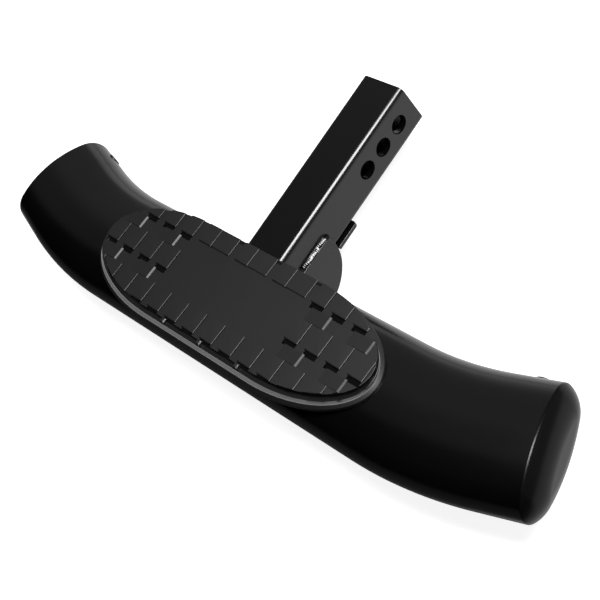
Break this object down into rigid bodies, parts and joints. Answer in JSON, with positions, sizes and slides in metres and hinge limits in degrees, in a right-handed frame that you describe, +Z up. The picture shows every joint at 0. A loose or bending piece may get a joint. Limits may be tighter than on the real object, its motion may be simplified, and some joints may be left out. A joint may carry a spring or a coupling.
{
  "type": "hitch receiver step",
  "caption": "Step for a square hitch receiver: oval bar with swept-back capped ends, flat tread pad on top, and a welded square shank with cross holes for a hitch pin.",
  "frame": {"origin": "centre of the middle pin hole, on the axis of the square shank", "axes": "+X along the step bar and the pin hole's axis, +Y along the shank toward the vehicle, +Z up"},
  "size_m": [0.7116, 0.3116, 0.0982],
  "materials": {
    "gloss_coat": "black powder coat, semi-gloss, on steel tube",
    "satin_coat": "black powder coat, satin, on steel plate and square tube",
    "weld_bead": "black powder coat over rippled weld bead",
    "cap_plastic": "moulded black plastic, semi-gloss",
    "screw_black": "black-finished steel screw",
    "tread_pad": "moulded dark grey plastic, fine matte grain",
    "clip_plastic": "moulded black plastic"
  },
  "bodies": {
    "root": {"step_tube": "gloss_coat", "receiver_shank": "satin_coat", "gusset_left": "satin_coat", "gusset_right": "satin_coat", "lower_plate": "satin_coat", "gusset_weld_left": "weld_bead", "gusset_weld_right": "weld_bead", "cradle_weld_left": "weld_bead", "cradle_weld_right": "weld_bead", "shank_weld": "weld_bead", "plate_weld": "weld_bead", "end_cap_left": "cap_plastic", "end_cap_right": "cap_plastic", "cap_screws": "screw_black", "step_pad": "tread_pad", "pad_clips": "clip_plastic"}
  },
  "joints": []
}
